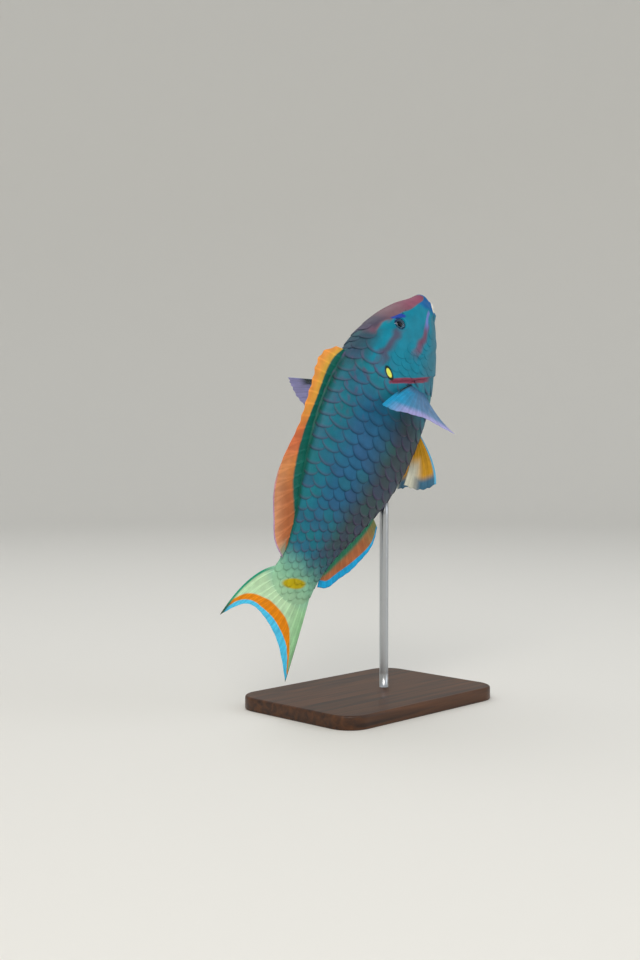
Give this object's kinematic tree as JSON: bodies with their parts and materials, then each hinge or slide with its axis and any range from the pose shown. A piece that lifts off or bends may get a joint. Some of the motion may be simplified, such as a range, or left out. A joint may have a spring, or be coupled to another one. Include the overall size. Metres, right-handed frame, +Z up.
{
  "type": "parrotfish display model",
  "caption": "Life-size still model of a colourful parrotfish climbing nose up with spread fins and a crescent tail, held by a rod on a flat display stand.",
  "frame": {"origin": "On the underside of the stand's base, below the middle of the fish's body axis.", "axes": "+Z up, +X the way the fish is heading, +Y to the fish's left."},
  "size_m": [0.2621, 0.1473, 0.37],
  "materials": {
    "scaled_skin": "wet-looking scaled skin, teal to grey-blue, darker at each scale's edge",
    "head_skin": "smooth wet-looking skin, teal with salmon-pink bands",
    "dorsal_fin": "orange membrane over rays, lilac outer edge",
    "anal_fin": "orange-red membrane over rays, green base and cyan outer band",
    "caudal_fin": "mint membrane over rays, yellow base, orange crescent, cyan rear edge",
    "pectoral_fin": "translucent lilac-blue membrane over rays",
    "pelvic_fin": "yellow-orange membrane, pale blue leading edge",
    "beak": "smooth white fused teeth",
    "eye": "polished, dark pupil in a grey-blue iris",
    "stand_base": "satin lacquered hardwood",
    "stand_rod": "brushed along its length"
  },
  "bodies": {
    "root": {"head": "head_skin", "torso": "scaled_skin", "tail_stock": "scaled_skin", "gill_cover_left": "head_skin", "gill_cover_right": "head_skin", "eye_left": "eye", "eye_right": "eye", "beak_upper": "beak", "beak_lower": "beak", "dorsal_fin": "dorsal_fin", "anal_fin": "anal_fin", "caudal_fin": "caudal_fin", "pectoral_fin_left": "pectoral_fin", "pectoral_fin_right": "pectoral_fin", "pelvic_fin_left": "pelvic_fin", "pelvic_fin_right": "pelvic_fin", "stand_base": "stand_base", "stand_rod": "stand_rod"}
  },
  "joints": []
}
